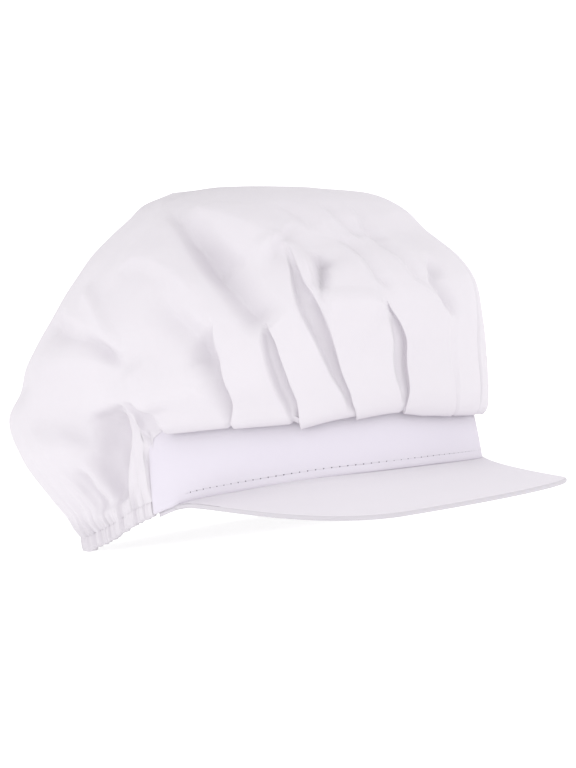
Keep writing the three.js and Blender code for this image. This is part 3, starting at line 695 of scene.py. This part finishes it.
def crownUvs(angles, points):  # cloth coordinates in mm: round the head, and down from the top
    steps = np.linalg.norm(np.diff(points, axis=1), axis=2)[:, ::-1]
    up = -np.concatenate([np.zeros((len(points), 1)), np.cumsum(steps, 1)], 1)[:, ::-1]
    return np.stack([arcAt(angles), up], -1).reshape(-1, 2)


def buildCrown():
    rows = plainForm.rows
    rowIndex = np.arange(rows)
    columns = crownColumns()
    angles, heights = layPleats(columns, rowIndex)
    points = plainForm.sample(plainForm.points, angles, rowIndex[None, :])
    normals = unit(plainForm.sample(plainForm.normals, angles, rowIndex[None, :]))
    flat = points.reshape(-1, 3)
    behind = smooth(np.abs(angles), *crown["seamEnds"])
    free = lerp(smooth(rowIndex, *crown["seamRows"]), smooth(rowIndex, *crown["hemRows"]), behind).reshape(-1)
    lift = heights.reshape(-1) + gatherHeight(angles.reshape(-1), flat[:, 2])
    for stroke in crown["folds"]:
        lift += strokeHeight(flat, stroke) * free
    for size, depth in crown["unevenness"]:
        lift += np.array([noise.noise(Vector(p) / size) for p in flat]) * depth * free
    grid = (flat + normals.reshape(-1, 3) * lift[:, None]).reshape(len(columns), rows, 3)
    grid[:, -1] = grid[:, -1].mean(0)
    faces = []
    for i in range(len(columns)):
        j = (i + 1) % len(columns)
        faces += [(i * rows + k, j * rows + k, j * rows + k + 1, i * rows + k + 1) for k in range(rows - 1)]
    obj = makeObject("crownShell", grid.reshape(-1, 3), faces, crownUvs(angles, points))
    layer = obj.data.uv_layers["cloth"]
    for face in list(obj.data.polygons)[-(rows - 1):]:  # the faces that close the ring at the nape
        for loop, vertex in zip(face.loop_indices, face.vertices):
            if vertex < rows:
                layer.data[loop].uv.x += arcAt(360)
    print("crown:", len(columns), "columns,", rows, "rows,", 2 * len(faces), "triangles")
    return obj


crownShell = buildCrown()
dress(crownShell, clothMaterial("crownCloth", crownCloth), "crown")


# Band and lining

bandCloth = dict(crownCloth, colour=(0.775, 0.735, 0.82), faded=(0.765, 0.725, 0.81), rumple=0.12)
liningCloth = dict(crownCloth, colour=(0.76, 0.725, 0.78), faded=(0.75, 0.715, 0.77), rumple=0.12)
lining = dict(
    shows=1.6, thickness=0.9, standsOff=0.55, endAngle=85.0,
    outside=[(0, -0.25), (0.25, 0), (3, 0), (14, -0.3), (26.7, -0.9), (27, -1.2)],  # height, out
    inside=[(27, -0.6), (14, -0.3), (3, 0), (0.3, 0), (0, 0.25)],
)


def ribbon(name, angles, ringAt):  # a closed strip round the opening; ringAt(angle) gives its section
    rings = [ringAt(a) for a in angles]
    n = len(rings[0])
    uvs = []
    for angle, ring in zip(angles, rings):
        along = np.concatenate([[0], np.cumsum(np.linalg.norm(np.diff(ring, axis=0), axis=1))])
        uvs += [(arcAt(angle), s) for s in along]
    faces = []
    for i in range(len(rings) - 1):
        for k in range(n):
            j = (k + 1) % n
            faces.append((i * n + k, (i + 1) * n + k, (i + 1) * n + j, i * n + j))
    last = (len(rings) - 1) * n
    faces += [tuple(range(n)), tuple(reversed(range(last, last + n)))]
    return makeObject(name, np.concatenate(rings), faces, uvs)


def bandPoint(angle, out, share):
    leant = angle * (1 - band["endLean"] / band["endAngle"] * share)
    z = lerp(bandEdgeZ(angle), bandTopZ(angle), share)
    return offOpening(leant, out - band["lean"] * share ** band["leanCurve"], z)


def bandRing(angle):
    waver = band["waver"] * wave(band["waverSeed"], angle / band["waverPitch"])
    ring = []
    for share, out in band["outside"]:
        ring.append(bandPoint(angle, out + waver * math.sin(share * math.pi), share))
    ring += [bandPoint(angle, out - band["thickness"], share) for share, out in band["inside"]]
    return np.array(ring)


def liningRing(angle):
    low = bandEdgeZ(angle) - lining["shows"]
    out = -band["thickness"] - lining["standsOff"]
    ring = [offOpening(angle, out + o, low + z) for z, o in lining["outside"]]
    ring += [offOpening(angle, out - lining["thickness"] + o, low + z) for z, o in lining["inside"]]
    return np.array(ring)


cornerAngle = band["endAngle"] - band["corner"]
rearCorner = np.linspace(cornerAngle, band["endAngle"], 16)[1:]
bandAngles = np.concatenate([-rearCorner[::-1], np.linspace(-cornerAngle, cornerAngle, 150), rearCorner])
frontBand = ribbon("frontBand", bandAngles, bandRing)
dress(frontBand, clothMaterial("bandCloth", bandCloth), "band")
print("band made")

liningAngles = np.linspace(-lining["endAngle"], lining["endAngle"], 130)
bandLining = ribbon("bandLining", liningAngles, liningRing)
dress(bandLining, clothMaterial("liningCloth", liningCloth), "band_lining")
print("lining made")


# Peak

peakCloth = dict(crownCloth, colour=(0.83, 0.795, 0.845), faded=(0.82, 0.785, 0.835),
                 rumple=0.06, roughness=0.66)
# painted shade: a darker copy of the peak's cloth for its rolled edge, standing for the shade under the edge
peakEdgePaintedShade = dict(peakCloth, colour=(0.66, 0.63, 0.675), faded=(0.65, 0.62, 0.665),
                     shadow=(0.6, 0.575, 0.615))
peak = dict(
    length=41.0, endAngle=77.0, thickness=1.7, tipWidth=3.0, inset=2.4, roundness=1.05,
    bow=0.8,  # under 1, it falls faster beside the band than at its edge
    seat=(0.5, 0.15), seatAngles=(35, 70),  # how high it is set to the band's edge, in front and at the sides
    lifts=dict(right=0.27, left=0.55),  # share of its half length from which its edge rises
    liftsEnd=1.07,
    rows=[*np.linspace(0, 0.9, 12), 0.95, 0.98],
    beadRows=7, bead=0.2, beadIn=0.7, beadReach=0.9,  # the rolled edge
)


def peakRing(angle):
    turn = abs(angle) / peak["endAngle"]
    reach = max(peak["tipWidth"], peak["length"] * max(1 - turn ** 2, 0) ** peak["roundness"])
    half = peak["thickness"] / 2
    top = float(bandEdgeZ(angle)) - half + lerp(*peak["seat"], float(smooth(abs(angle), *peak["seatAngles"])))
    lifts = peak["lifts"]["right" if angle > 0 else "left"]
    low = lerp(half, top, float(smooth(turn, lifts, peak["liftsEnd"])))

    def middle(share):
        out = lerp(-peak["inset"], reach, share)
        return out, lerp(top, low, np.clip(out / reach, 0, 1) ** peak["bow"])

    across = [middle(share) for share in peak["rows"]]
    edgeOut, edgeZ = middle(1.0)
    ring = [(out, z + half) for out, z in across]
    for k in range(1, peak["beadRows"] + 1):
        a = math.pi / 2 - math.pi * k / (peak["beadRows"] + 1)
        rolled = half + peak["bead"] * math.sin(a) ** 2
        out = edgeOut - peak["beadIn"] + peak["beadReach"] * math.cos(a)
        ring.append((out, edgeZ + rolled * math.sin(a)))
    ring += [(out, z - half) for out, z in reversed(across)]
    return np.array([offOpening(angle, out, z) for out, z in ring])


peakBoard = ribbon("peakBoard", np.linspace(-peak["endAngle"], peak["endAngle"], 150), peakRing)
dress(peakBoard, clothMaterial("peakCloth", peakCloth), "peak")
# painted shade: the rolled edge's faces take the darker copy of the peak's cloth
peakBoard.data.materials.append(clothMaterial("peakEdge", peakEdgePaintedShade))
ringSize = len(peakRing(0.0))
beadStart = len(peak["rows"])
beadEnd = beadStart + peak["beadRows"] + 1
for face in peakBoard.data.polygons:
    spots = [v % ringSize for v in face.vertices]
    if len(spots) == 4 and min(spots) >= beadStart and max(spots) <= beadEnd:
        face.material_index = 1
print("peak made")


# Elastic hem

def hemRing(angle):
    z = float(hemEdgeZ(angle))
    left = 360 - hem["start"]
    ends = float(between(angle, (hem["start"], hem["start"] + hem["fadeIn"]), (left - hem["fadeIn"], left)))
    waves = hem["depth"] * (float(pucker(angle, "fine")) + float(pucker(angle, "middle"))) * ends
    out = -hem["thickness"] / 2 - float(hemInset(angle)) + waves
    ripple = hem["ripple"] * ends * float(wave(hem["rippleSeed"], angle * hem["rippleRate"]))
    low = z + (hem["clearsFloor"] + ripple if z > hem["restsBelow"] else 0.0)
    tall = (z + hem["height"] - low) / hem["height"]
    return np.array([offOpening(angle, out + o, low + h * tall) for h, o in hem["outside"] + hem["inside"]])


elasticHem = ribbon("elasticHem", np.linspace(hem["start"], 360 - hem["start"], 620), hemRing)
dress(elasticHem, clothMaterial("hemCloth", crownCloth), "elastic_hem")
print("hem made")


# Topstitch along the band, and dark discs painted as the shade in its needle holes

threadLook = dict(crownCloth, colour=(0.8, 0.765, 0.84), faded=(0.79, 0.755, 0.83), thread=0.18, rumple=0.05)
# painted shade: a dark disc at each needle hole stands for the shade inside the hole
needleHoleShadeLook = dict(bandCloth, colour=(0.2, 0.18, 0.22), faded=(0.17, 0.15, 0.19), shadow=(0.13, 0.12, 0.15))
stitch = dict(
    rise=3.6, pitch=3.3, endAngle=76.0, gap=0.45, radius=0.13, sunk=0.06, sides=8,
    stations=[(0.0, 0.25), (0.08, 0.75), (0.25, 1.0), (0.75, 1.0), (0.92, 0.75), (1.0, 0.25)],
)
hole = dict(wide=0.3, high=0.27, standsOff=0.02, sides=10, shrinks=0.65, shrinksAt=-30, shrinksOver=28)


def addStitch(points, faces, uvs, a, b):
    axis = unit(b - a)
    helper = np.array([0, 0, 1.0]) if abs(axis[2]) < 0.8 else np.array([1.0, 0, 0])
    right = unit(np.cross(axis, helper))
    up = np.cross(right, axis)
    start, sides = len(points), stitch["sides"]
    for share, size in stitch["stations"]:
        for k in range(sides):
            t = 2 * math.pi * k / sides
            out = (right * math.cos(t) + up * math.sin(t)) * stitch["radius"] * size
            points.append(lerp(a, b, share) + out)
            uvs.append((share * 2, k * 0.2))
    for i in range(len(stitch["stations"]) - 1):
        p, q = start + i * sides, start + (i + 1) * sides
        faces += [(p + k, q + k, q + (k + 1) % sides, p + (k + 1) % sides) for k in range(sides)]
    faces.append(tuple(range(start, start + sides)))
    faces.append(tuple(reversed(range(len(points) - sides, len(points)))))


def addHole(points, faces, uvs, middle, right, up, size):
    start, sides = len(points), hole["sides"]
    for k in range(sides):
        t = 2 * math.pi * k / sides
        points.append(middle + (right * hole["wide"] * math.cos(t) + up * hole["high"] * math.sin(t)) * size)
        uvs.append((math.cos(t), math.sin(t)))
    faces.append(tuple(range(start, start + sides)))


def buildTopstitch():
    fine = np.linspace(-stitch["endAngle"], stitch["endAngle"], 2000)
    line = np.array([bandPoint(a, 0.0, stitch["rise"] / band["height"]) for a in fine])
    arc = np.concatenate([[0], np.cumsum(np.linalg.norm(np.diff(line, axis=0), axis=1))])

    def lineAt(s):
        return np.array([np.interp(s, arc, line[:, i]) for i in range(3)])

    threads, holes = ([], [], []), ([], [], [])
    for start in np.arange(int(arc[-1] / stitch["pitch"])) * stitch["pitch"]:
        angle = float(np.interp(start, arc, fine))
        outward = unit(offOpening(angle, 1, 0) - offOpening(angle, 0, 0))
        a = lineAt(start + stitch["gap"])
        b = lineAt(start + stitch["pitch"] - stitch["gap"])
        addStitch(*threads, a - outward * stitch["sunk"], b - outward * stitch["sunk"])
        along = unit(b - a)
        size = 1 - hole["shrinks"] * math.exp(-((angle - hole["shrinksAt"]) / hole["shrinksOver"]) ** 2)
        middle = lineAt(start) + outward * hole["standsOff"]
        addHole(*holes, middle, along, np.cross(outward, along), size)
    names = ("bandStitches", "needleHoles")
    return [makeObject(name, *parts) for name, parts in zip(names, (threads, holes))]


bandStitches, needleHoles = buildTopstitch()
dress(bandStitches, clothMaterial("sewingThread", threadLook))
# painted shade for the needle holes
dress(needleHoles, clothMaterial("needleHole", needleHoleShadeLook))
print("topstitch made")


# Floor, light and camera

stage = dict(radius=9000.0, height=2400.0, low=-0.02, sides=96, colour=(0.3, 0.3, 0.3, 1),
             floorGlow=0.85, backdropGlow=1.0)


def stageMaterial(name, glow):
    m = MaterialMaker(name)
    place = m.node("ShaderNodeTexCoord", output="Object")
    shader = m.node("ShaderNodeBsdfPrincipled", None, {
        "Base Color": stage["colour"],
        "Roughness": m.noise(place, 3.0, 2.0) * 0.1 + 0.85,
        "Emission Color": (1, 1, 1, 1),
        "Emission Strength": glow,
        "Specular IOR Level": 0.1,
    })
    return m.finish(shader)


def buildStage():
    count, low = stage["sides"], stage["low"]
    turns = [2 * math.pi * k / count for k in range(count)]
    ring = [(stage["radius"] * math.cos(t) - ringX, stage["radius"] * math.sin(t) - ringY) for t in turns]
    walls = [(k, k + count, (k + 1) % count + count, (k + 1) % count) for k in range(count)]
    floor = makeObject("floor", [(x, y, low) for x, y in ring], [tuple(range(count))], None, False)
    around = [(x, y, z) for z in (low, stage["height"]) for x, y in ring]
    backdrop = makeObject("backdrop", around, walls, None, False)
    for obj, glow in ((floor, stage["floorGlow"]), (backdrop, stage["backdropGlow"])):
        obj.data.materials.append(stageMaterial("pale" + obj.name, glow))


buildStage()
scene = bpy.context.scene
scene.view_settings.view_transform = "Standard"
scene.view_settings.look = "None"
scene.view_settings.exposure = 0.0
world = bpy.data.worlds.new("studio")
scene.world = world
world.use_nodes = True
world.node_tree.nodes["Background"].inputs[0].default_value = (1, 1, 1, 1)
world.node_tree.nodes["Background"].inputs[1].default_value = 0.95

lights = dict(  # in metres and watts
    keyLight=dict(azimuth=-88, elevation=16, distance=1.8, size=0.7, power=3.0),
    frontLight=dict(azimuth=22, elevation=12, distance=1.8, size=0.9, power=2.3),
)
lightsAim = Vector((0, 0, 0.07))
view = dict(azimuth=-42.0, elevation=0.3, roll=-9.0, distance=1450.1, lens=156.99, sensorWidth=36.0,
            target=(7.825, -7.046, 58.27))  # in millimetres and degrees


def direction(azimuth, elevation):
    a, e = math.radians(azimuth), math.radians(elevation)
    return Vector((math.sin(a) * math.cos(e), -math.cos(a) * math.cos(e), math.sin(e)))


def softLight(name, azimuth, elevation, distance, size, power):
    data = bpy.data.lights.new(name, "AREA")
    data.shape, data.size, data.energy = "DISK", size, power
    obj = bpy.data.objects.new(name, data)
    obj.location = direction(azimuth, elevation) * distance + lightsAim
    obj.rotation_euler = (-direction(azimuth, elevation)).to_track_quat("-Z", "Y").to_euler()
    scene.collection.objects.link(obj)


def buildCamera():
    back = direction(view["azimuth"], view["elevation"])
    right = (-back).cross(Vector((0, 0, 1))).normalized()
    up = right.cross(-back)
    r = math.radians(view["roll"])
    right, up = right * math.cos(r) + up * math.sin(r), up * math.cos(r) - right * math.sin(r)
    place = (Vector(view["target"]) + Vector((ringX, ringY, 0)) + back * view["distance"]) * mm
    data = bpy.data.cameras.new("camera")
    data.lens, data.sensor_width = view["lens"], view["sensorWidth"]
    camera = bpy.data.objects.new("camera", data)
    camera.matrix_world = Matrix.Translation(place) @ Matrix((right, up, back)).transposed().to_4x4()
    scene.collection.objects.link(camera)
    scene.camera = camera


for name, light in lights.items():
    softLight(name, **light)
buildCamera()
print("floor, lights and camera set")
